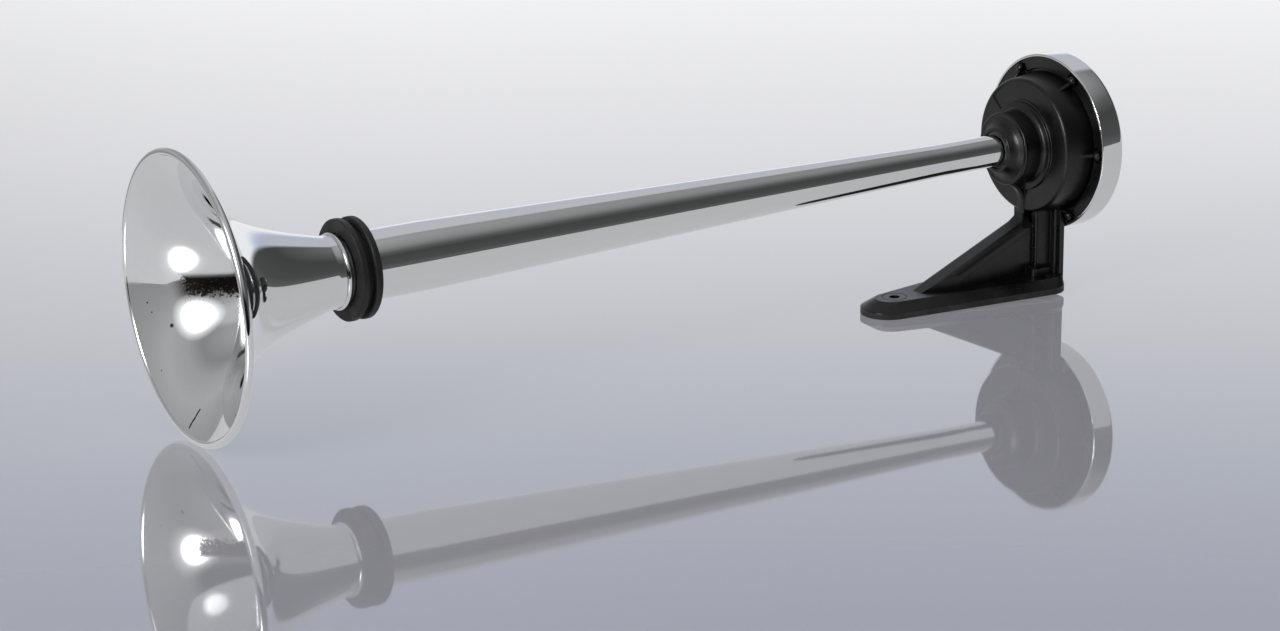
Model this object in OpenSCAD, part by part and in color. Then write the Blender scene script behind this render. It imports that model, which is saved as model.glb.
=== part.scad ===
// Car air horn: a flared metal trumpet in a moulded head that stands on a three-hole foot.
// The trumpet lies along X with its mouth at -X. The foot stands on z = 0.
// The origin is the middle of the air inlet's mouth, on the underside of the foot.
// A station is a distance in front of the cover's front edge, measured along the trumpet.

/* [Placing] */
// Height of the trumpet's axis above the mounting face
axis_height = 90; // [84:1:110]
// Station of the air inlet's axis
inlet_station = 11; // [10:0.5:12]

/* [Trumpet] */
// Length of the bell, from its neck to its rim
bell_length = 86.6; // [70:0.1:110]
// Outer radius of the bell at its rolled rim
bell_rim_r = 80; // [60:1:100]
// Radius of the wire-like roll round the bell's rim
rim_roll_r = 1.6; // [1.2:0.1:2.5]
// How sharply the bell opens near its mouth
flare_power = 4.1; // [3:0.1:6]
// Growth of the bell's radius per millimetre near its neck
flare_slope = 0.21; // [0.05:0.01:0.3]
// Sheet thickness of the bell
bell_wall = 1; // [0.8:0.1:1.6]
// Station of the bell's neck
neck_station = 499; // [420:1:600]
// Outer radius of the tube at its wide end
tube_wide_r = 19.4; // [16:0.1:24]
// Outer radius of the tube where it enters the head
tube_small_r = 9.9; // [8:0.1:11]
// Wall of the tube
tube_wall = 1; // [0.8:0.1:1.5]
// Length of tube that is pushed into the bell's neck
tube_in_bell = 4; // [3:1:12]
// Station where the tube's cone begins
cone_start = 85; // [60:1:120]
// Length of straight tube behind the bell, which carries the grommet
straight_end = 54; // [28:1:60]

/* [Support grommet] */
// Gap between the bell's neck and the grommet
grommet_gap = 5.6; // [2:0.1:12]
// Width of the grommet along the trumpet
grommet_w = 12.2; // [9:0.1:20]
// Outer radius of the grommet's two flanges
grommet_r = 28.2; // [24:0.1:34]
// Thickness of each flange
grommet_flange = 4.1; // [3:0.1:6]
// Depth of the groove between the flanges
grommet_groove = 4; // [2:0.1:6]

/* [Head] */
// Station of the tip of the nose
nose_station = 39.8; // [38:0.1:46]
// Radius of the hole in the nose
nose_hole_r = 11.9; // [11.5:0.1:13]
// Outer radius of the nose's end face
nose_end_r = 14; // [13.5:0.1:16]
// Station of the raised lip round the nose
lip_station = 33.6; // [31:0.1:35]
// Outer radius of the lip
lip_r = 22.7; // [22:0.1:25]
// Station of the low ring at the root of the nose
ring_station = 19.4; // [19:0.1:22]
// Outer radius of the low ring
ring_r = 27.6; // [26.5:0.1:28.5]
// Station of the drum's front face
face_station = 17.7; // [16:0.1:18.6]
// Outer radius of the flange
flange_r = 54.2; // [50:0.1:60]
// Width of the flange outside the drum
flange_w = 9.8; // [9.6:0.1:11]
// How much the drum's radius shrinks towards its front face
drum_draft = 2.2; // [1:0.1:3]
// Radius of the rounded edge of the drum's face
face_round = 2.2; // [1:0.1:2.4]
// Width of the groove between the drum and the flange
groove_w = 1.4; // [1:0.1:1.5]
// Depth of the groove and of the pockets round the screw bosses
groove_depth = 1.6; // [1:0.1:1.8]
// Thickness of the flange
flange_t = 3.2; // [2.5:0.1:4]
// Thickness of the head's walls
head_wall = 3.4; // [2.5:0.1:4]
// Angle that the bare recessed panel spans on the drum's face
panel_angle = 98; // [60:1:140]
// Depth of the recessed panel
panel_depth = 0.7; // [0.3:0.1:1.2]

/* [Screws of the head] */
// Number of screws round the flange
screw_count = 6; // [3:1:8]
// Distance of the screws from the flange's edge
screw_inset = 4.6; // [4.5:0.1:4.8]
// Radius of a screw's shank
screw_r = 1.75; // [1.5:0.05:2]
// Radius of a screw's head
screw_head_r = 3.4; // [3:0.1:3.8]
// Outer radius of a screw boss
boss_r = 2.8; // [2.6:0.1:3]
// Station of a boss's rounded tip
boss_station = 2.6; // [2:0.1:5]
// Radius of the pocket round a boss
pocket_r = 5; // [4:0.1:5.1]

/* [Cover and diaphragm] */
// Depth of the cover from its front edge to its back
cover_depth = 17.4; // [16.5:0.1:25]
// Sheet thickness of the cover
cover_wall = 0.8; // [0.6:0.1:1.2]
// Radius of the cover's rounded back edge
cover_round = 3.6; // [2:0.1:6]
// Thickness of the drum's wall at its root
drum_wall = 6.9; // [6:0.1:8]
// Width of the rim on which the diaphragm is clamped
seal_w = 5.7; // [4:0.1:6]
// Thickness of the diaphragm
diaphragm_t = 0.4; // [0.3:0.05:0.8]
// Thickness of the gasket in front of the diaphragm
gasket_t = 0.6; // [0.4:0.1:1]
// Thickness of the steel ring behind the diaphragm
clamp_t = 1; // [0.6:0.1:1.5]
// Thickness of the back plate's rim
plate_rim_t = 4; // [3:0.1:5]
// Height of the back plate's dome behind its rim
plate_dome_t = 3.6; // [2.5:0.1:4]

/* [Bracket] */
// Height of the foot's flat top above the mounting face
foot_h = 8.9; // [7.5:0.1:12]
// Thickness of the rubber gasket under the foot
pad_t = 3; // [2:0.1:4]
// Width of the slope round the foot's top
foot_slope = 5.6; // [3:0.1:6]
// Station of the front screw hole
front_hole_station = 117.4; // [110:0.5:135]
// Distance between the two rear screw holes
rear_hole_span = 44; // [43:0.5:46]
// Station of the rear screw holes
rear_hole_station = 14.5; // [13:0.5:17]
// Radius of the foot's screw holes
hole_r = 3.3; // [2.5:0.1:3.5]
// Radius of the foot's nose
foot_nose_r = 17; // [14:0.5:20]
// Radius of the foot's two rear corners
foot_corner_r = 14; // [13:0.5:15]
// Width of the foot at its rear
foot_w = 63; // [60:1:72]
// Width of the sloping rib
rib_w = 16; // [12:0.5:18]
// Angle of the rib above the foot
rib_angle = 22.7; // [18:0.1:26]
// Radius of the bend where the rib turns up to the drum
rib_bend_r = 9; // [6:0.5:12]
// Radius of the sweep that joins the ridge to the nose
rib_sweep_r = 14; // [12:0.5:15]
// Width of the narrow ridge above the rib
ridge_w = 5.6; // [4:0.1:7]
// Width of the back web that runs down from the flange
back_web_w = 43; // [36:1:46]
// Thickness of the back web
back_web_t = 3.4; // [2.5:0.1:4.5]
// Width of the air duct's column at its front
column_w = 21; // [18:0.5:22]
// Height of the plinth round the column, above the foot's top
plinth_h = 4.3; // [2:0.1:6]

/* [Air inlet] */
// Radius of the inlet's threaded hole
inlet_r = 5.72; // [4.2:0.01:5.9]
// Outer radius of the inlet insert
insert_r = 7.4; // [7.2:0.1:7.6]
// Length of the inlet insert
insert_len = 15; // [12:0.5:20]

/* [Hidden] */
$fn = 96;
eps = 0.01;
fit_gap = 0.05;
steps = 8;

// Stations that follow from the sizes above
flange_front = -cover_wall;
flange_back = flange_front - flange_t;
diaphragm_front = flange_back - gasket_t;
diaphragm_back = diaphragm_front - diaphragm_t;
clamp_front = diaphragm_back - gasket_t;
clamp_back = clamp_front - clamp_t;
plate_back = flange_back - plate_rim_t;
tube_stop = 12;
back_station = 0.6;
cone_end = neck_station - straight_end;
grommet_front = neck_station - grommet_gap;
grommet_back = grommet_front - grommet_w;
chamber_front = face_station - head_wall;
core_wall = 3.1;

// Radii that follow from the flange
drum_r = flange_r - flange_w;
face_r = drum_r - drum_draft;
screw_circle_r = flange_r - screw_inset;
chamber_r = drum_r - drum_wall;
diaphragm_r = chamber_r + seal_w;
groove_floor = flange_front - groove_depth;
function drum_side(station) = face_r + drum_draft * (face_station - station) / (face_station - groove_floor);

// Places in the row frame, where x = inlet_station - station
foot_nose_station = front_hole_station + 5;
rib_foot_station = front_hole_station - 17.4;
rib_front_station = face_station + 1;

function place_x(station) = inlet_station - station;
function arc(cx, cy, r, a0, a1, n) = [for (i = [0 : n]) [cx + r * cos(a0 + (a1 - a0) * i / n),
                                                         cy + r * sin(a0 + (a1 - a0) * i / n)]];

// Puts a shape that was made upright on the trumpet's axis: its z becomes the station and its x points up
module on_axis() {
    translate([place_x(0), 0, axis_height]) rotate([0, -90, 0]) children();
}

// A turned piece, from an outline of [radius, station] points
module turned(points) {
    on_axis() rotate_extrude() polygon(points);
}

// Copies a shape to each screw's place. The first place is level with the axis, on the near side.
module at_screws() {
    for (i = [0 : screw_count - 1])
        on_axis() rotate([0, 0, -90 + i * 360 / screw_count]) translate([screw_circle_r, 0, 0]) children();
}

// Bell

// Inner radius of the bell at a distance in front of its neck: a straight socket, then the flare
flare_len = bell_length - tube_in_bell;
mouth_r = bell_rim_r - 1.37 * rim_roll_r;
flare_rest = mouth_r - tube_wide_r - flare_slope * flare_len;
function flare_share(t) = (exp(flare_power * t / flare_len) - 1) / (exp(flare_power) - 1);
function bell_r(d) = let (t = max(d - tube_in_bell, 0))
    tube_wide_r + flare_slope * t + flare_rest * flare_share(t);

// Angle of the sheet away from the axis
function bell_tilt(d) = let (step = 0.2) d < tube_in_bell ? 0 : atan((bell_r(d + step) - bell_r(d)) / step);

function bell_point(d) = [bell_r(d), neck_station + d];

module bell() {
    flare_steps = 40;
    along = concat([0], [for (i = [0 : flare_steps]) tube_in_bell + flare_len * sin(90 * i / flare_steps)]);
    roll_station = neck_station + bell_length - rim_roll_r * sin(bell_tilt(bell_length));
    color("silver") {
        turned(concat(
            [for (d = along) bell_point(d) + bell_wall * [cos(bell_tilt(d)), -sin(bell_tilt(d))]],
            [for (i = [len(along) - 1 : -1 : 0]) bell_point(along[i])]));
        on_axis() rotate_extrude() translate([bell_rim_r - rim_roll_r, roll_station])
            circle(r = rim_roll_r, $fn = 32);
    }
}

// Tube

// Bead on the tube that the bell's neck is pushed up to
bead_r = 1.9;
bead_station = neck_station - bead_r - 0.1;

module trumpet_tube() {
    end = neck_station + tube_in_bell;
    inner = tube_wall;
    color("silver") turned(concat(
        [[tube_small_r, tube_stop], [tube_small_r, cone_start], [tube_wide_r, cone_end]],
        arc(tube_wide_r, bead_station, bead_r, -90, 90, 12),
        [[tube_wide_r, end], [tube_wide_r - inner, end], [tube_wide_r - inner, cone_end],
         [tube_small_r - inner, cone_start], [tube_small_r - inner, tube_stop]]));
}

// Grommet

module support_grommet() {
    edge = 1;
    groove_r = grommet_r - grommet_groove;
    lip = 0.6;
    lip_depth = 1.4;
    color("dimgray") turned(concat(
        [[tube_wide_r, grommet_back]],
        arc(grommet_r - edge, grommet_back + edge, edge, -90, 0, steps),
        arc(grommet_r - edge, grommet_back + grommet_flange - edge, edge, 0, 90, steps),
        [[groove_r, grommet_back + grommet_flange], [groove_r, grommet_front - grommet_flange]],
        arc(grommet_r - edge, grommet_front - grommet_flange + edge, edge, -90, 0, steps),
        arc(grommet_r - edge, grommet_front - edge, edge, 0, 90, steps),
        [[tube_wide_r + 2 * lip, grommet_front], [tube_wide_r + lip, grommet_front - lip_depth],
         [tube_wide_r, grommet_front - lip_depth]]));
}

// Head and bracket, moulded in one piece

// Outline of the nose's end, its hollow cheek and its raised lip, as [radius, station] points
function nose_outline() = let (soft = 0.7, lip_soft = 0.9, cheek_r = 8, lip_edge = 0.3, lip_back = 2)
    concat(
        [[nose_hole_r, nose_station]],
        arc(nose_end_r - soft, nose_station - soft, soft, 90, 20, steps),
        arc(nose_end_r + cheek_r - 0.4, nose_station + 1.6, cheek_r, 195, 243, steps),
        [[lip_r - 2.9, lip_station - lip_edge], [lip_r - 2.3, lip_station - lip_edge]],
        arc(lip_r - lip_soft, lip_station - lip_soft, lip_soft, 135, 0, steps),
        [[lip_r - 0.5, lip_station - lip_back]]);

// Outline of the low ring, the drum, the groove round its root and the flange
function drum_outline() = let (soft = 0.7, root = 3, corner = 0.6)
    concat(
        arc(lip_r + root, ring_station + root + 0.2, root, 180, 262, steps),
        arc(ring_r - soft, ring_station - soft, soft, 90, 0, steps),
        arc(ring_r + corner, face_station + corner, corner, 180, 270, 4),
        arc(face_r - face_round, face_station - face_round, face_round, 90, 5, steps),
        [[drum_r, groove_floor], [drum_r + groove_w, groove_floor]],
        arc(drum_r + groove_w + soft, flange_front - soft, soft, 180, 90, steps),
        [[flange_r - corner, flange_front], [flange_r, flange_front - corner], [flange_r, flange_back]]);

module head_solid() {
    turned(concat(nose_outline(), drum_outline(), [[0, flange_back], [0, nose_station]]));
}

// A round space on the trumpet's axis, between two stations
module bore(r, back, front) {
    turned([[0, back], [r, back], [r, front], [0, front]]);
}

// Room for the tube, its seal and O-ring, the nozzle seat and the air chamber
module head_room() {
    out = nose_station + 1;
    soft = 3;
    bore(tube_small_r + fit_gap, tube_stop - eps, out);
    bore(nose_hole_r, seal_back, out);
    ring_slot_at(o_ring_seat_r, o_ring_station);
    bore(nozzle_r, flange_back - 1, nozzle_front);
    ring_slot_at(nozzle_ring_seat_r, nozzle_ring_station);
    turned(concat([[core_r, flange_back - 1]], [[chamber_r, flange_back - 1]],
        arc(chamber_r - soft, chamber_front - soft, soft, 0, 90, 6), [[core_r, chamber_front]]));
}

module ring_slot_at(r, station) {
    bore(r, station - ring_slot / 2, station + ring_slot / 2);
}
seal_len = 7;
seal_back = nose_station - seal_len - 1.2;
o_ring_r = 0.9;
ring_slot = 2.3;
o_ring_station = tube_stop + 8;
o_ring_seat_r = tube_small_r + 2 * o_ring_r;
nozzle_r = tube_small_r + 2.4;
nozzle_front = tube_stop;
nozzle_ring_station = 6;
nozzle_ring_seat_r = nozzle_r + 2 * o_ring_r;
core_r = nozzle_ring_seat_r + core_wall;

// Bare recessed panel on the upper part of the drum's face
module face_panel() {
    half = panel_angle / 2;
    reach = 2 * face_r;
    panel_edge = 0.1;
    on_axis() translate([0, 0, face_station - panel_depth]) linear_extrude(3) intersection() {
        difference() {
            circle(r = face_r - face_round - panel_edge);
            circle(r = ring_r + 1.4);
        }
        polygon(concat([[0, 0]], [for (a = [-half : half / 2 : half]) reach * [cos(a), sin(a)]]));
    }
}

// One blind screw boss with a round tip and a gusset that leans on the drum's side
module screw_boss() {
    dome = boss_r - 0.2;
    gusset_t = 1.8;
    gusset_top = boss_station + 5;
    gusset_end = boss_station - 0.8;
    to_drum = screw_circle_r - drum_side(gusset_top);
    rotate_extrude($fn = 48) polygon(concat([[0, groove_floor - eps], [boss_r, groove_floor - eps]],
        arc(boss_r - dome, boss_station - dome, dome, 0, 90, 8), [[0, boss_station]]));
    rotate([90, 0, 0]) translate([0, 0, -gusset_t / 2]) linear_extrude(gusset_t)
        polygon([[0, groove_floor - eps], [0, gusset_end - 0.4], [-boss_r + 0.6, gusset_end],
                 [-to_drum, gusset_top], [-to_drum - 1, gusset_top], [-to_drum - 1, groove_floor - eps]]);
}

module screw_hole() {
    tip_wall = 1.4;
    depth = boss_station - tip_wall - flange_back;
    translate([0, 0, flange_back - 1]) cylinder(r = screw_r + fit_gap, h = depth + 1, $fn = 32);
}

// Shallow pockets in the flange round the bosses, which stop short of the flange's edge
module pockets() {
    intersection() {
        at_screws() translate([0, 0, groove_floor]) cylinder(r = pocket_r, h = groove_depth + 1, $fn = 64);
        bore(flange_r - 0.9, groove_floor - 1, flange_front + 2);
    }
}

// Foot

// The foot's low edge follows its whole outline. Its flat top is drawn in at the nose and the sides only,
// so the rear stays upright.
foot_rear_station = back_station + foot_corner_r;
foot_rear_y = foot_w / 2 - foot_corner_r;
top_corner_r = foot_corner_r - foot_slope;
top_nose_r = foot_nose_r - foot_slope - 1.4;
top_nose_station = foot_nose_station - 2.4;

// Three discs: one at the nose and one at each rear corner
module foot_discs(nose_station, nose_r, corner_r, z, h) {
    translate([place_x(nose_station), 0, z]) cylinder(r = nose_r, h = h, $fn = 64);
    for (y = [-foot_rear_y, foot_rear_y])
        translate([place_x(back_station + corner_r), y, z]) cylinder(r = corner_r, h = h, $fn = 64);
}

module foot() {
    edge = 0.9;
    top_t = 0.1;
    hull() {
        foot_discs(foot_nose_station, foot_nose_r, foot_corner_r, pad_t, edge);
        foot_discs(top_nose_station, top_nose_r, top_corner_r, foot_h - top_t, top_t);
    }
}

module foot_holes(from, to, r) {
    half = rear_hole_span / 2;
    for (p = [[front_hole_station, 0], [rear_hole_station, half], [rear_hole_station, -half]])
        translate([place_x(p[0]), p[1], from]) cylinder(r = r, h = to - from, $fn = 64);
}

// Everything below the foot's underside, where the rubber gasket is
module under_foot() {
    far = 300;
    translate([-far, -far / 2, pad_t - foot_h]) cube([2 * far, far, foot_h]);
}

// Rib: a rounded bar that climbs from the foot and bends up, then a narrow ridge that sweeps on to the nose

// Cross-section of a bar: its front edge is at x = 0 and its body at x > 0
module bar_section(w, soft) {
    translate([soft, -w / 2]) square([rib_depth - soft, w]);
    translate([0, -w / 2 + soft]) square([soft + eps, w - 2 * soft]);
    for (y = [-1, 1]) translate([soft, y * (w / 2 - soft)]) circle(r = soft, $fn = 48);
}

// The rib's front edge, in stations and heights
rib_depth = 7;
rib_run = rib_foot_station - rib_front_station;
rib_corner_z = foot_h + rib_run * tan(rib_angle);
rib_tangent = rib_bend_r * tan((90 - rib_angle) / 2);
bend_z = rib_corner_z + rib_tangent;
sweep_z = axis_height - lip_r - 0.3 - rib_sweep_r;

module straight_bar(w, soft) {
    length = rib_run / cos(rib_angle) - rib_tangent;
    translate([place_x(rib_foot_station), 0, foot_h]) rotate([0, 90 - rib_angle, 0])
        linear_extrude(length) bar_section(w, soft);
}

module bent_bar(w, soft) {
    turn = 90 - rib_angle;
    translate([place_x(rib_front_station) - rib_bend_r, 0, bend_z]) rotate([90, 0, 0])
        rotate([0, 0, -turn]) rotate_extrude(angle = turn) translate([rib_bend_r, 0]) bar_section(w, soft);
}

// The ridge stands a little proud of the bar's front, and its lower end is sunk in the bar's bend
module ridge() {
    soft = 1.4;
    turn = 88;
    front = place_x(rib_front_station + 0.25);
    low = bend_z - 3;
    translate([front, 0, low]) linear_extrude(sweep_z - low) bar_section(ridge_w, soft);
    translate([front - rib_sweep_r, 0, sweep_z]) rotate([90, 0, 0])
        rotate_extrude(angle = turn) translate([rib_sweep_r, 0]) bar_section(ridge_w, soft);
}

// Half widths of the rib seen from above, as [distance behind its foot, half width]
rib_taper = [[-1, 3.6], [10.5, 5.6], [21, 7.1], [30, rib_w / 2 + 0.3], [rib_foot_station, rib_w / 2 + 0.3]];

function rib_side(p, side) = [place_x(rib_foot_station - p[0]), side * p[1]];

module seen_from_above() {
    linear_extrude(axis_height) polygon(concat(
        [for (p = rib_taper) rib_side(p, 1)],
        [for (i = [len(rib_taper) - 1 : -1 : 0]) rib_side(rib_taper[i], -1)]));
}

// The rib seen from the front: full width at the foot, narrower than the ridge at the top
module seen_from_front() {
    low = rib_corner_z - 5;
    high = bend_z - 1;
    full = rib_w / 2 + 0.3;
    thin = ridge_w / 2 - 0.9;
    translate([place_x(rib_foot_station + 10), 0, 0]) rotate([90, 0, 90]) linear_extrude(rib_foot_station)
        polygon([[-full, 0], [full, 0], [full, low], [thin, high], [thin, sweep_z], [-thin, sweep_z],
                 [-thin, high], [-full, low]]);
}

module rib() {
    intersection() {
        union() {
            straight_bar(rib_w, 4);
            bent_bar(rib_w, 4);
            rib_web();
        }
        seen_from_above();
        seen_from_front();
    }
    ridge();
}

// Web behind the bar
module rib_web() {
    set_back = 5;
    web_w = rib_w - 0.4;
    top_z = bend_z;
    translate([0, web_w / 2, 0]) rotate([90, 0, 0]) linear_extrude(web_w) polygon([
        [place_x(rib_foot_station - set_back / sin(rib_angle)), foot_h - eps],
        [place_x(rib_front_station - set_back), rib_corner_z],
        [place_x(rib_front_station - set_back), top_z],
        [place_x(web_front), top_z],
        [place_x(web_front), foot_h - eps]]);
}

// The duct's column with its plinth, and the back web behind it
web_front = back_station + back_web_t;
column_front = face_station - 3.2;
column_back_w = column_w + 4;

module column() {
    top_z = axis_height - chamber_r - 1;
    bead = 0.8;
    corner = 0.6;
    half = column_w / 2;
    translate([0, 0, foot_h - eps]) linear_extrude(top_z - foot_h + eps) polygon([
        [place_x(column_front) + corner, -half], [place_x(web_front) + eps, -column_back_w / 2],
        [place_x(web_front) + eps, column_back_w / 2], [place_x(column_front) + corner, half],
        [place_x(column_front), half - corner], [place_x(column_front), corner - half]]);
    for (y = [-half + 0.3, half - 0.3]) translate([place_x(column_front) + corner, y, foot_h - eps])
        cylinder(r = bead, h = axis_height - foot_h - drum_r + 6, $fn = 24);
    plinth();
}

module plinth() {
    soft = 3;
    front = column_front + 5.5;
    half = rear_hole_span / 2 - 5.6;
    translate([0, 0, foot_h - eps]) linear_extrude(plinth_h + eps) {
        translate([place_x(front) + soft, -half]) square([front - soft - web_front + eps, 2 * half]);
        translate([place_x(front), soft - half]) square([soft + eps, 2 * (half - soft)]);
        for (y = [-1, 1]) translate([place_x(front) + soft, y * (half - soft)]) circle(r = soft, $fn = 48);
    }
}

// Back web, with an upright bead on each half of its front and a step that ties it to the flange
module back_web() {
    bead = 0.8;
    bead_inset = 4.7;
    height = axis_height - drum_r;
    translate([place_x(web_front), -back_web_w / 2, pad_t])
        cube([back_web_t, back_web_w, height - pad_t + 8]);
    for (y = [-1, 1]) translate([place_x(web_front), y * (back_web_w / 2 - bead_inset), foot_h - eps])
        cylinder(r = bead, h = height - foot_h + 6, $fn = 24);
    intersection() {
        translate([place_x(web_front), -back_web_w / 2, 0])
            cube([web_front - flange_front + eps, back_web_w, height + 4]);
        on_axis() translate([0, 0, flange_front - eps]) cylinder(r = flange_r - 1.6, h = face_station);
    }
}

module air_duct() {
    duct_l = 8.6;
    duct_w = 13;
    duct_top = axis_height - chamber_r + 3;
    translate([-duct_l / 2, -duct_w / 2, insert_len - eps]) cube([duct_l, duct_w, duct_top - insert_len]);
    translate([0, 0, -1]) cylinder(r = insert_r, h = insert_len + 1);
}

// Ring groove that marks the seat of the front screw's washer
module washer_seat() {
    seat_r = 7.9;
    line_w = 0.6;
    line_depth = 0.4;
    translate([place_x(front_hole_station), 0, foot_h - line_depth]) difference() {
        cylinder(r = seat_r, h = 1);
        translate([0, 0, -1]) cylinder(r = seat_r - line_w, h = 3);
    }
}

module horn_body() {
    color("#1c1d1f") difference() {
        union() {
            difference() {
                head_solid();
                face_panel();
                pockets();
            }
            at_screws() screw_boss();
            foot();
            rib();
            column();
            back_web();
        }
        head_room();
        air_duct();
        under_foot();
        at_screws() screw_hole();
        foot_holes(pad_t - 1, foot_h + 1, hole_r);
        washer_seat();
    }
}

// Cover

module chrome_cover() {
    lip = 0.7;
    soft = 0.4;
    hem = 0.6;
    out_r = flange_r + cover_wall;
    round_in = cover_round - cover_wall;
    back = -cover_depth;
    color("silver") turned(concat(
        [[flange_r - lip, flange_front], [flange_r - lip + 0.2, 0], [out_r - soft, 0], [out_r, -soft]],
        arc(out_r - cover_round, back + cover_round, cover_round, 0, -90, steps),
        [[0, back], [0, back + cover_wall]],
        arc(flange_r - round_in, back + cover_round, round_in, -90, 0, steps),
        [[flange_r, flange_front - hem], [flange_r - hem, flange_front]]));
}

// Small pieces on the tube

module tube_seal() {
    soft = 0.4;
    front = seal_back + seal_len;
    color("#4a4a4a") turned([[tube_small_r, seal_back], [nose_hole_r, seal_back], [nose_hole_r, front - soft],
        [nose_hole_r - soft, front], [tube_small_r + soft, front], [tube_small_r, front - soft]]);
}

module o_ring(inner, station) {
    color("black") on_axis() rotate_extrude() translate([inner + o_ring_r, station])
        circle(r = o_ring_r, $fn = 32);
}

module tube_o_ring() {
    o_ring(tube_small_r, o_ring_station);
}

module nozzle_o_ring() {
    o_ring(nozzle_r, nozzle_ring_station);
}

module nozzle_seat() {
    seat_r = 9.2;
    bore_r = 7;
    color("goldenrod") turned([
        [bore_r, diaphragm_front], [seat_r, diaphragm_front], [nozzle_r - 1, flange_back + 2],
        [nozzle_r, flange_back + 2], [nozzle_r, nozzle_front], [tube_small_r - tube_wall, nozzle_front],
        [bore_r, diaphragm_front + 4]]);
}

// Diaphragm stack

module disc_ring(inner, outer, front, back) {
    turned([[inner, back], [outer, back], [outer, front], [inner, front]]);
}

module diaphragm() {
    color("lightgray") disc_ring(0, diaphragm_r, diaphragm_front, diaphragm_back);
}

module front_gasket() {
    color("black") disc_ring(chamber_r, diaphragm_r, flange_back, diaphragm_front);
}

module rear_gasket() {
    color("black") disc_ring(chamber_r, diaphragm_r, diaphragm_back, clamp_front);
}

module clamp_ring() {
    color("gray") disc_ring(chamber_r, diaphragm_r, clamp_front, clamp_back);
}

module back_plate() {
    plate_r = flange_r - 1;
    pocket = diaphragm_r + 0.3;
    dome_r = chamber_r + 3.1;
    dome_edge = 1.5;
    dome_back = plate_back - plate_dome_t;
    dome_wall = 3;
    vent_r = 1.5;
    color("#242528") difference() {
        turned(concat([[pocket, flange_back], [plate_r, flange_back]],
            arc(plate_r - 1, plate_back + 1, 1, 0, -90, 4),
            [[dome_r + dome_edge, plate_back], [dome_r - dome_edge, dome_back], [0, dome_back],
             [0, dome_back + dome_wall], [chamber_r - 2, dome_back + dome_wall], [chamber_r, clamp_back],
             [pocket, clamp_back]]));
        at_screws() translate([0, 0, plate_back - 1])
            cylinder(r = screw_r + 0.2, h = plate_rim_t + 2, $fn = 32);
        on_axis() translate([dome_r / 2, 0, dome_back - 1])
            cylinder(r = vent_r, h = dome_wall + 2, $fn = 24);
    }
}

module back_plate_screws() {
    head_t = 2.4;
    head_back = plate_back - head_t;
    chamfer = 0.8;
    tip = boss_station - 2;
    slot_w = 0.8;
    slot_l = 4;
    color("silver") at_screws() difference() {
        rotate_extrude($fn = 48) polygon([[0, head_back], [screw_head_r - chamfer, head_back],
            [screw_head_r, head_back + chamfer], [screw_head_r, plate_back], [screw_r, plate_back],
            [screw_r, tip - 1], [screw_r - 0.9, tip], [0, tip]]);
        for (a = [0, 90]) rotate([0, 0, a]) translate([-slot_l / 2, -slot_w / 2, head_back - 1])
            cube([slot_l, slot_w, 2.2]);
    }
}

// Air inlet

module inlet_insert() {
    color("goldenrod") difference() {
        cylinder(r = insert_r, h = insert_len);
        translate([0, 0, -1]) cylinder(r = inlet_r, h = insert_len - 1);
        translate([0, 0, 1]) cylinder(r = inlet_r - 1.6, h = insert_len);
    }
}

module base_pad() {
    screw_gap = 0.3;
    color("#2c2c2c") difference() {
        hull() foot_discs(foot_nose_station, foot_nose_r, foot_corner_r, 0, pad_t);
        foot_holes(-1, pad_t + 1, hole_r + screw_gap);
        translate([0, 0, -1]) cylinder(r = insert_r, h = pad_t + 2);
    }
}

horn_body();
chrome_cover();
trumpet_tube();
bell();
support_grommet();
tube_seal();
tube_o_ring();
nozzle_seat();
nozzle_o_ring();
front_gasket();
diaphragm();
rear_gasket();
clamp_ring();
back_plate();
back_plate_screws();
inlet_insert();
base_pad();
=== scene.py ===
"""Looks of the car air horn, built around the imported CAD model. Metres, row frame."""
import math

import bpy
import bmesh
from mathutils import Matrix, Vector


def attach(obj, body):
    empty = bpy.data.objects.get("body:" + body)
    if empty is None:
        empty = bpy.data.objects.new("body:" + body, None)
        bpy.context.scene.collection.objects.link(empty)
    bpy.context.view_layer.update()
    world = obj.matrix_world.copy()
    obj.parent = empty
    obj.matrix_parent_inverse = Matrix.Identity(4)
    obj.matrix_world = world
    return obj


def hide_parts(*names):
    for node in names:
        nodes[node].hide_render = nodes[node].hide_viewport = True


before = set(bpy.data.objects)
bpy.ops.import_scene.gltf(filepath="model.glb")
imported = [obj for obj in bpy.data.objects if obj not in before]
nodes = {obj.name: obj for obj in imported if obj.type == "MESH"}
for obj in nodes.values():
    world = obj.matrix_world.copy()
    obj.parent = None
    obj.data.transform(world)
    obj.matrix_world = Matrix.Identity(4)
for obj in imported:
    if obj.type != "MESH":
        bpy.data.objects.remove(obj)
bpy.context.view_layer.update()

MM = 0.001
AXIS_Z = 0.090          # height of the trumpet's axis
INLET_STATION = 11.0    # millimetres from the cover's front edge to the row's origin
scene = bpy.context.scene
scene.view_settings.view_transform = "Standard"


# Camera, solved from the round edges of the photograph

def set_camera():
    azimuth, elevation, roll = (math.radians(a) for a in (-32.293, 16.938, -1.141))
    back = Vector((math.sin(azimuth) * math.cos(elevation), -math.cos(azimuth) * math.cos(elevation),
                   math.sin(elevation)))
    right = Vector((math.cos(azimuth), math.sin(azimuth), 0))
    up = back.cross(right)
    across = math.cos(roll) * right + math.sin(roll) * up
    upward = -math.sin(roll) * right + math.cos(roll) * up
    data = bpy.data.cameras.new("camera")
    data.sensor_width = 36
    data.lens = 79.76
    data.clip_start = 0.05
    data.clip_end = 60
    camera = bpy.data.objects.new("camera", data)
    scene.collection.objects.link(camera)
    turn = Matrix((across, upward, back)).transposed().to_4x4()
    camera.matrix_world = Matrix.Translation((-1.1309, -1.3279, 0.5087)) @ turn
    scene.camera = camera


# Node helpers

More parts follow.
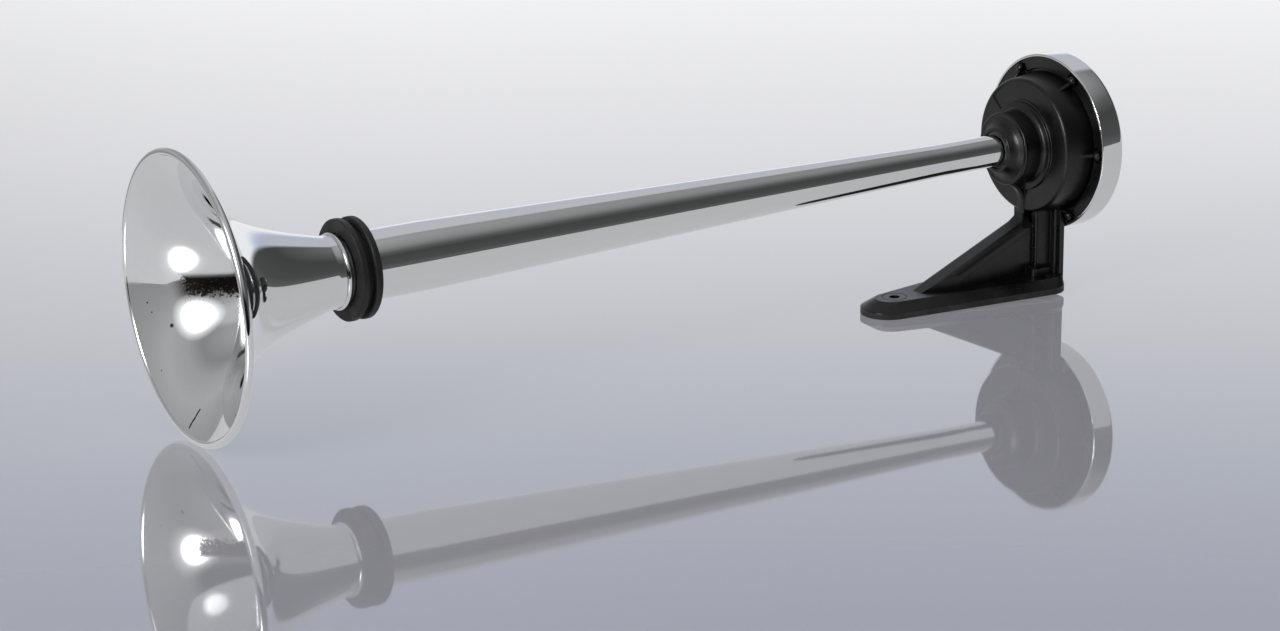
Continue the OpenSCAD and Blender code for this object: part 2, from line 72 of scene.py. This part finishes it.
class Nodes:
    """Short way to write a node tree."""

    def __init__(self, tree):
        self.tree = tree
        tree.nodes.clear()

    def add(self, kind, inputs=None, **settings):
        node = self.tree.nodes.new(kind)
        for name, value in settings.items():
            setattr(node, name, value)
        for name, value in (inputs or {}).items():
            self.put(node.inputs[name], value)
        return node

    def put(self, socket, value):
        if isinstance(value, bpy.types.NodeSocket):
            self.tree.links.new(value, socket)
        else:
            socket.default_value = value

    def math(self, operation, a, b=0.0):
        return self.add("ShaderNodeMath", {0: a, 1: b}, operation=operation).outputs[0]

    def ramp(self, value, stops):
        """Straight steps between [place, colour or grey] stops."""
        node = self.add("ShaderNodeValToRGB", {"Fac": value})
        elements = node.color_ramp.elements
        while len(elements) < len(stops):
            elements.new(0.5)
        for element, (place, colour) in zip(elements, stops):
            element.position = place
            element.color = (*colour, 1) if not isinstance(colour, float) else (colour, colour, colour, 1)
        return node.outputs["Color"]

    def mix(self, factor, a, b):
        node = self.add("ShaderNodeMix", {"Factor": factor}, data_type="RGBA")
        self.put(node.inputs[6], a)
        self.put(node.inputs[7], b)
        return node.outputs[2]

    def range(self, value, from_min, from_max, to_min=0.0, to_max=1.0):
        """A soft step from one value to the other."""
        node = self.add("ShaderNodeMapRange", {0: value, 1: from_min, 2: from_max, 3: to_min, 4: to_max},
                        interpolation_type="SMOOTHSTEP")
        return node.outputs[0]

    def noise(self, vector, scale, detail=3.0, roughness=0.5):
        node = self.add("ShaderNodeTexNoise", {"Vector": vector, "Scale": scale, "Detail": detail,
                                               "Roughness": roughness})
        return node.outputs["Fac"]


def new_material(name):
    material = bpy.data.materials.new(name)
    material.use_nodes = True
    return material, Nodes(material.node_tree)


def position(n, stretch=(1, 1, 1)):
    place = n.add("ShaderNodeTexCoord").outputs["Object"]
    return n.add("ShaderNodeMapping", {"Vector": place, "Scale": stretch}).outputs[0]


def finish_material(n, colour, roughness, bump_height=None, bump_mm=0.05, normal=None, **fixed):
    shader = n.add("ShaderNodeBsdfPrincipled")
    n.put(shader.inputs["Base Color"], colour)
    n.put(shader.inputs["Roughness"], roughness)
    for name, value in fixed.items():
        shader.inputs[name.replace("_", " ")].default_value = value
    if bump_height is not None:
        bump = n.add("ShaderNodeBump", {"Height": bump_height, "Strength": 1.0, "Distance": bump_mm * MM})
        if normal is not None:
            n.put(bump.inputs["Normal"], normal)
        n.put(shader.inputs["Normal"], bump.outputs[0])
    elif normal is not None:
        n.put(shader.inputs["Normal"], normal)
    n.add("ShaderNodeOutputMaterial", {"Surface": shader.outputs[0]})


# Materials

PIT_COLOUR = (0.016, 0.013, 0.011, 1)


def chrome(name, marks=None):
    """Chrome plate. The marks function gives where it is pitted or scratched."""
    material, n = new_material(name)
    place = position(n)
    streaks = n.noise(position(n, (6, 40, 40)), 9.0, 4.0)
    haze = n.noise(place, 60.0, 5.0, 0.6)
    colour = n.mix(n.math("MULTIPLY", streaks, 0.5), (0.86, 0.87, 0.885, 1), (0.80, 0.81, 0.825, 1))
    rough = n.range(haze, 0.35, 0.75, 0.025, 0.075)
    if marks:
        dirt = marks(n, place)
        colour = n.mix(dirt, colour, PIT_COLOUR)
        rough = n.math("ADD", rough, n.math("MULTIPLY", dirt, 0.3))
    waves = n.noise(place, 28.0, 2.0)
    finish_material(n, colour, rough, waves, 0.012, Metallic=1.0)
    return material


def moulding(name, colour, edge_colour, rough=(0.34, 0.5), grain_mm=0.02, round_mm=0.45):
    material, n = new_material(name)
    place = position(n)
    grain = n.noise(place, 1500.0, 2.0)
    patches = n.noise(place, 45.0, 4.0, 0.6)
    rounded = n.add("ShaderNodeBevel", {"Radius": round_mm * MM}, samples=6).outputs[0]
    geometry = n.add("ShaderNodeNewGeometry")
    worn = n.range(geometry.outputs["Pointiness"], 0.52, 0.60)
    worn = n.math("MULTIPLY", worn, n.range(patches, 0.4, 0.65))
    base = n.mix(n.math("MULTIPLY", patches, 0.6), (*colour, 1), (*[c * 0.7 for c in colour], 1))
    base = n.mix(worn, base, (*edge_colour, 1))
    roughness = n.range(patches, 0.3, 0.7, rough[0], rough[1])
    finish_material(n, base, roughness, grain, grain_mm, normal=rounded)
    return material


def metal(name, colour, rough):
    material, n = new_material(name)
    turned = n.noise(position(n, (200, 8, 8)), 12.0, 3.0)
    base = n.mix(n.math("MULTIPLY", turned, 0.5), (*colour, 1), (*[c * 0.75 for c in colour], 1))
    finish_material(n, base, n.range(turned, 0.3, 0.7, rough, rough + 0.15), turned, 0.02, Metallic=1.0)
    return material


# Turned pieces in fine mesh

def place_x(station):
    return (INLET_STATION - station) * MM


def turned(name, outline, around=224, sharp_deg=40):
    """A closed ring of [radius, station] points in millimetres, turned round the trumpet's axis."""
    mesh = bpy.data.meshes.new(name)
    verts, faces = [], []
    count = len(outline)
    for i in range(around):
        angle = 2 * math.pi * i / around
        for radius, station in outline:
            verts.append((place_x(station), radius * MM * math.cos(angle),
                          AXIS_Z + radius * MM * math.sin(angle)))
    for i in range(around):
        here, there = i * count, (i + 1) % around * count
        for k in range(count):
            m = (k + 1) % count
            if outline[k][0] < 1e-6 and outline[m][0] < 1e-6:
                continue
            faces.append((here + k, here + m, there + m, there + k))
    mesh.from_pydata(verts, [], faces)
    grid = bmesh.new()
    grid.from_mesh(mesh)
    bmesh.ops.remove_doubles(grid, verts=grid.verts, dist=1e-7)
    bmesh.ops.recalc_face_normals(grid, faces=grid.faces)
    for face in grid.faces:
        face.smooth = True
    for edge in grid.edges:
        edge.smooth = len(edge.link_faces) == 2 and edge.calc_face_angle(0) < math.radians(sharp_deg)
    grid.to_mesh(mesh)
    grid.free()
    piece = bpy.data.objects.new(name, mesh)
    scene.collection.objects.link(piece)
    return piece


def arc(cx, cy, r, a0, a1, steps):
    return [(cx + r * math.cos(math.radians(a0 + (a1 - a0) * i / steps)),
             cy + r * math.sin(math.radians(a0 + (a1 - a0) * i / steps))) for i in range(steps + 1)]


# Sizes in millimetres, as in the source but for the rim, which is finer here
NECK, BELL_LEN, SOCKET = 499.0, 86.6, 4.0
TUBE_WIDE, TUBE_SMALL, TUBE_WALL, BEAD_R = 19.4, 9.9, 1.0, 1.9
RIM_R, ROLL_R, BELL_WALL = 80.0, 2.2, 1.0
MOUTH_R, FLARE_END = 75.9, 85.6   # where the flare meets the rolled rim in a crease
FLARE_POWER, FLARE_SLOPE = 4.1, 0.21


def bell_curve(distance):
    """Inner radius and slope of the bell at a distance in front of its neck."""
    length = FLARE_END - SOCKET
    t = max(distance - SOCKET, 0)
    rest = MOUTH_R - TUBE_WIDE - FLARE_SLOPE * length
    grown = math.exp(FLARE_POWER * t / length)
    span = math.exp(FLARE_POWER) - 1
    radius = TUBE_WIDE + FLARE_SLOPE * t + rest * (grown - 1) / span
    slope = FLARE_SLOPE + rest * FLARE_POWER / length * grown / span if distance > SOCKET else 0
    return radius, math.atan(slope)


def bell_point(distance, degrees):
    """A place on the bell's inside. Degrees run from the top towards +Y."""
    radius, angle = bell_curve(distance)[0], math.radians(degrees)
    return (place_x(NECK + distance), radius * MM * math.sin(angle), AXIS_Z + radius * MM * math.cos(angle))


# Places on the bell's inside as distance in front of the neck and degrees, and the radius of each speck
SPECKS = ((80.2, 106, 0.6), (79.3, 111, 0.5), (73.4, 121, 1.3), (82.0, 139, 0.4))
SCRATCH = ((84.3, 175.0), (79.0, 177.0))
PITS_FROM, PITS_TO = 62, 71     # where the pitting begins to thin out, and where it ends


def bell_marks(n, place):
    """Four dark specks, a scratch near the rim and a patch of pitting deep in the throat."""
    dirt = 0.0
    for distance, degrees, size in SPECKS:
        speck = bell_point(distance, degrees)
        away = n.add("ShaderNodeVectorMath", {0: place, 1: speck}, operation="DISTANCE")
        dirt = n.math("MAXIMUM", dirt, n.range(away.outputs["Value"], 1.2 * size * MM, 0.6 * size * MM))
    ends = [Vector(bell_point(*end)) for end in SCRATCH]
    along = ends[1] - ends[0]
    offset = n.add("ShaderNodeVectorMath", {0: place, 1: ends[0]}, operation="SUBTRACT").outputs[0]
    share = n.add("ShaderNodeVectorMath", {0: offset, 1: along / along.length_squared},
                  operation="DOT_PRODUCT")
    share = n.math("MAXIMUM", 0.0, n.math("MINIMUM", 1.0, share.outputs["Value"]))
    nearest = n.add("ShaderNodeVectorMath", {0: tuple(along), "Scale": share}, operation="SCALE").outputs[0]
    away = n.add("ShaderNodeVectorMath", {0: offset, 1: nearest}, operation="DISTANCE").outputs["Value"]
    ragged = n.noise(place, 420.0, 3.0)
    away = n.math("ADD", away, n.math("MULTIPLY", n.math("SUBTRACT", ragged, 0.5), 0.0012))
    dirt = n.math("MAXIMUM", dirt, n.range(away, 0.00080, 0.00040))
    x, y, z = n.add("ShaderNodeSeparateXYZ", {0: place}).outputs
    # The pitting is thick at the level of the axis and thins out below it and towards the mouth
    level = n.math("ADD", z, n.math("MULTIPLY", n.math("SUBTRACT", n.noise(place, 130.0, 3.0), 0.5), 0.012))
    density = n.range(level, AXIS_Z - 0.019, AXIS_Z - 0.006, 0.0, 0.40)
    density = n.math("MULTIPLY", density, n.range(x, place_x(NECK + PITS_TO), place_x(NECK + PITS_FROM)))
    pits = n.range(n.math("ADD", n.noise(place, 620.0, 5.0, 0.7), density), 0.66, 0.80)
    # Only below the axis, on the +Y side and deep in the throat
    edges = ((z, AXIS_Z + 0.001, AXIS_Z - 0.003), (y, 0.0, 0.004),
             (x, place_x(NECK + PITS_TO + 1), place_x(NECK + PITS_FROM + 4)))
    for value, outside, inside in edges:
        pits = n.math("MULTIPLY", pits, n.range(value, outside, inside))
    return n.math("MAXIMUM", dirt, pits)


def make_bell():
    steps, flare = 110, FLARE_END - SOCKET
    along = [0, 1.5, 3] + [SOCKET + flare * math.sin(math.pi / 2 * i / steps) for i in range(steps + 1)]
    inner, outer = [], []
    for d in along:
        radius, tilt = bell_curve(d)
        inner.append((radius, NECK + d))
        outer.append((radius + BELL_WALL * math.cos(tilt), NECK + d - BELL_WALL * math.sin(tilt)))
    # The rim is rolled back in two steps, which show as two thin bands beside each other
    front = (RIM_R - ROLL_R - 0.05, NECK + BELL_LEN - ROLL_R)
    back = (RIM_R - ROLL_R, front[1] - 0.15)
    roll = arc(*front, ROLL_R, 146, 38, 18) + arc(*back, ROLL_R, 30, -140, 26)
    # The outside of the sheet stops where it meets the roll
    while outer and math.dist(outer[-1], back) < ROLL_R + 0.12:
        outer.pop()
    outline = inner + roll + outer[::-1]
    piece = turned("bell_shell", outline, sharp_deg=20)
    piece.data.materials.append(chrome("bell_chrome_look", bell_marks))
    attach(piece, "root")
    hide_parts("bell")


def make_tube():
    cone_start, cone_end, stop, end = 85.0, 445.0, 12.0, NECK + SOCKET
    cone = [cone_start + (cone_end - cone_start) * i / 24 for i in range(25)]
    stations = [stop, 40.0, 60.0, 80.0] + cone + [470.0]

    def radius(station):
        share = min(max((station - cone_start) / (cone_end - cone_start), 0), 1)
        return TUBE_SMALL + (TUBE_WIDE - TUBE_SMALL) * share

    bead = arc(TUBE_WIDE, NECK - BEAD_R - 0.1, BEAD_R, -90, 90, 24)
    outline = ([(radius(s), s) for s in stations] + bead + [(TUBE_WIDE, end), (TUBE_WIDE - TUBE_WALL, end)]
               + [(radius(s) - TUBE_WALL, s) for s in reversed(stations)])
    piece = turned("tube_shell", outline, around=160)
    piece.data.materials.append(chrome("tube_chrome_look"))
    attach(piece, "root")
    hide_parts("trumpet_tube")


def make_cover():
    flange, wall, lip, depth, soft = 54.2, 0.8, 0.7, 17.4, 3.6
    out = flange + wall
    inner_soft = soft - wall
    rings = (45, 38, 30, 20, 10, 0)
    outline = ([(flange - lip, -wall), (flange - lip + 0.2, 0)] + arc(out - 0.5, -0.5, 0.5, 90, 0, 6)
               + arc(out - soft, soft - depth, soft, 0, -90, 16)
               + [(r, -depth) for r in rings] + [(r, wall - depth) for r in reversed(rings)]
               + arc(flange - inner_soft, soft - depth, inner_soft, -90, 0, 10)
               + [(flange, -wall - 0.6), (flange - 0.6, -wall)])
    piece = turned("cover_shell", outline)
    piece.data.materials.append(chrome("cover_chrome_look"))
    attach(piece, "root")
    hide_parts("chrome_cover")


def dress_nodes():
    """Materials for the pieces that keep their CAD shape."""
    rubber_edge = (0.10, 0.10, 0.10)
    looks = {
        "horn_body": moulding("body_plastic_look", (0.0025, 0.0025, 0.003), (0.012, 0.012, 0.013),
                              (0.26, 0.4), 0.03),
        "support_grommet": moulding("grommet_rubber_look", (0.018, 0.018, 0.019), rubber_edge,
                                    (0.45, 0.7), 0.03, 0.3),
        "tube_seal": moulding("seal_rubber_look", (0.012, 0.012, 0.013), rubber_edge, (0.5, 0.7)),
        "base_pad": moulding("pad_rubber_look", (0.007, 0.007, 0.0075), (0.04, 0.04, 0.04), (0.5, 0.7)),
        "back_plate": moulding("plate_plastic_look", (0.005, 0.005, 0.0055), (0.02, 0.02, 0.02)),
        "diaphragm": metal("diaphragm_look", (0.58, 0.58, 0.6), 0.25),
        "clamp_ring": metal("clamp_ring_look", (0.56, 0.56, 0.55), 0.3),
        "back_plate_screws": metal("screws_look", (0.6, 0.6, 0.58), 0.28),
        "nozzle_seat": metal("nozzle_brass_look", (0.72, 0.53, 0.26), 0.25),
        "inlet_insert": metal("insert_brass_look", (0.72, 0.53, 0.26), 0.22),
    }
    ring = moulding("ring_rubber_look", (0.006, 0.006, 0.006), rubber_edge, (0.4, 0.55), 0.01, 0.2)
    for name in ("tube_o_ring", "nozzle_o_ring", "front_gasket", "rear_gasket"):
        looks[name] = ring
    for name, look in looks.items():
        for slot in nodes[name].material_slots:
            slot.material = look


# Floor, lights and surroundings

FLOOR_TILT = (-0.022, 0.0225)    # the horn leans on its rim and on the front of its foot
FLOOR_PLACE = (-0.127, 0, -0.0004)
# A point and the direction of the table's left and front edges on the floor, as the chrome shows them
TABLE_EDGES = (((-0.766, 0.164), (0.509, 0.861)), ((-0.757, -0.128), (-0.774, 0.633)))
FLOOR_GLOW = (0.148, 0.149, 0.164)       # as the camera sees the floor
FLOOR_MIRRORED = (0.46, 0.46, 0.465)     # as the chrome shows it
GLOSS_IOR, GLOSS_GAIN = 1.5, 1.75


def make_floor():
    """The table as a large glossy floor."""
    size = 30.0
    mesh = bpy.data.meshes.new("floor")
    corners = [(-size, -size, 0), (size, -size, 0), (size, size, 0), (-size, size, 0)]
    mesh.from_pydata(corners, [], [(0, 1, 2, 3)])
    floor = bpy.data.objects.new("floor", mesh)
    scene.collection.objects.link(floor)
    floor.location = FLOOR_PLACE
    floor.rotation_euler = (*FLOOR_TILT, 0)
    material, n = new_material("floor_look")
    place = n.add("ShaderNodeTexCoord").outputs["Object"]
    x, y, _ = n.add("ShaderNodeSeparateXYZ", {0: place}).outputs
    path = n.add("ShaderNodeLightPath")
    mirrored = n.math("MAXIMUM", path.outputs["Is Glossy Ray"], path.outputs["Is Transmission Ray"])
    seen = n.math("MAXIMUM", path.outputs["Is Camera Ray"], mirrored)
    glow = n.mix(mirrored, (*FLOOR_GLOW, 1), (*FLOOR_MIRRORED, 1))
    body = n.add("ShaderNodeBsdfPrincipled", {"Base Color": (0.10, 0.10, 0.105, 1), "Roughness": 0.6,
                                              "Specular IOR Level": 0.0,
                                              "Emission Color": glow, "Emission Strength": seen})
    # A polished table: it mirrors more and more of the backdrop towards the horizon, but seen in the
    # chrome it stays below 0.16, so that far floor does not glare there
    fresnel = n.add("ShaderNodeFresnel", {"IOR": GLOSS_IOR}).outputs[0]
    limit = n.math("SUBTRACT", 1.0, n.math("MULTIPLY", mirrored, 0.84))
    polish = n.math("MINIMUM", n.math("MULTIPLY", fresnel, GLOSS_GAIN), limit)
    gloss = n.add("ShaderNodeBsdfAnisotropic", {"Color": polish, "Roughness": 0.03})
    table = n.add("ShaderNodeAddShader", {0: body.outputs[0], 1: gloss.outputs[0]})
    # Reflections see a table of a real size, and the room beyond it
    on_table = 1.0
    for (edge_x, edge_y), (along_x, along_y) in TABLE_EDGES:
        inward = n.math("SUBTRACT", n.math("MULTIPLY", n.math("SUBTRACT", x, edge_x), along_y),
                        n.math("MULTIPLY", n.math("SUBTRACT", y, edge_y), along_x))
        on_table = n.math("MULTIPLY", on_table, n.range(inward, -0.005, 0.005))
    shown = n.math("MAXIMUM", on_table, n.math("SUBTRACT", 1.0, path.outputs["Is Glossy Ray"]))
    clear = n.add("ShaderNodeBsdfTransparent")
    both = n.add("ShaderNodeMixShader", {0: shown, 1: clear.outputs[0], 2: table.outputs[0]})
    n.add("ShaderNodeOutputMaterial", {"Surface": both.outputs[0]})
    floor.data.materials.append(material)


def make_world():
    """The room, by direction: what the chrome and the floor mirror."""
    world = bpy.data.worlds.new("studio")
    scene.world = world
    world.use_nodes = True
    n = Nodes(world.node_tree)
    direction = n.add("ShaderNodeTexCoord").outputs["Generated"]
    x, y, z = n.add("ShaderNodeSeparateXYZ", {0: direction}).outputs
    # 0 at the nadir, 1 at the zenith
    height = n.math("ADD", n.math("DIVIDE", n.math("ARCSINE", z), math.pi), 0.5)
    around = n.math("DEGREES", n.math("ARCTAN2", y, x))

    def el(degrees):
        return degrees / 180 + 0.5

    right_room = n.ramp(height, [(el(-20), 0.12), (el(0), 0.11), (el(8), 0.075), (el(30), 0.06),
                                 (el(40), 0.11), (el(52), 0.26), (el(70), 0.40), (el(90), 0.45)])
    left_room = n.ramp(height, [(el(-14), 0.006), (el(6), 0.010), (el(10), 0.08), (el(16), 0.22),
                                (el(26), 0.35), (el(42), 0.52), (el(60), 0.50), (el(90), 0.45)])
    side = n.ramp(height, [(el(-14), 0.27), (el(0), 0.33), (el(15), 0.43), (el(30), 0.37), (el(42), 0.26),
                           (el(60), 0.35), (el(90), 0.45)])
    # White behind the horn, and falling off to blue-grey above it
    backdrop = n.ramp(height, [(el(7.3), (0.92, 0.92, 0.92)), (el(10), (0.93, 0.93, 0.95)),
                               (el(13.4), (0.82, 0.83, 0.87)), (el(16), (0.65, 0.71, 0.82)),
                               (el(19.3), (0.52, 0.57, 0.74)), (el(23), (0.50, 0.52, 0.60)),
                               (el(32), (0.52, 0.54, 0.58)), (el(60), (0.55, 0.55, 0.57))])
    to_left = n.range(around, -100.0, -70.0, 1.0, 0.0)
    room = n.mix(to_left, right_room, left_room)
    # The side wall fades out behind the softbox, and the white backdrop covers the far side
    side_part = n.math("MAXIMUM", n.range(around, -168.0, -148.0, 1.0, 0.0), n.range(around, 65.0, 110.0))
    room = n.mix(side_part, room, side)
    white = n.math("MULTIPLY", n.range(around, 17.0, 25.0), n.range(around, 108.0, 60.0))
    room = n.mix(white, room, backdrop)
    path = n.add("ShaderNodeLightPath")
    seen = n.add("ShaderNodeBackground", {"Color": (0.93, 0.93, 0.93, 1), "Strength": 1.0})
    felt = n.add("ShaderNodeBackground", {"Color": room, "Strength": 1.0})
    both = n.add("ShaderNodeMixShader", {0: path.outputs["Is Camera Ray"],
                                         1: felt.outputs[0], 2: seen.outputs[0]})
    n.add("ShaderNodeOutputWorld", {"Surface": both.outputs[0]})


def make_softbox(place, target):
    """A round lamp that fades to its rim, for soft-edged reflections. The room shows through it."""
    radius, around, brightest = 0.62, 64, 18.0
    angles = [2 * math.pi * i / around for i in range(around)]
    ring = [(radius * math.cos(a), radius * math.sin(a), 0) for a in angles]
    mesh = bpy.data.meshes.new("softbox")
    mesh.from_pydata(ring, [], [tuple(range(around))])
    box = bpy.data.objects.new("softbox", mesh)
    scene.collection.objects.link(box)
    box.location = place
    box.rotation_euler = (Vector(target) - Vector(place)).to_track_quat("Z", "Y").to_euler()
    box.visible_camera = False
    material, n = new_material("softbox_look")
    centre = n.add("ShaderNodeTexCoord").outputs["Object"]
    out = n.add("ShaderNodeVectorMath", {0: centre}, operation="LENGTH").outputs["Value"]
    # Strength at each distance from the middle, in metres
    stops = [(0.0, brightest), (0.20, 15.0), (0.28, 8.5), (0.33, 3.0), (0.36, 1.3), (0.42, 0.6),
             (0.50, 0.3), (0.61, 0.0)]
    level = n.ramp(n.math("DIVIDE", out, radius), [(r / radius, value / brightest) for r, value in stops])
    back = n.add("ShaderNodeNewGeometry").outputs["Backfacing"]
    strength = n.math("MULTIPLY", n.math("SUBTRACT", 1.0, back), brightest)
    light = n.add("ShaderNodeEmission", {"Color": level, "Strength": strength})
    clear = n.add("ShaderNodeBsdfTransparent")
    both = n.add("ShaderNodeAddShader", {0: light.outputs[0], 1: clear.outputs[0]})
    n.add("ShaderNodeOutputMaterial", {"Surface": both.outputs[0]})
    mesh.materials.append(material)


set_camera()
make_bell()
make_tube()
make_cover()
dress_nodes()
make_floor()
make_world()
make_softbox((-1.65, -0.43, 0.70), (-0.585, 0, 0.09))
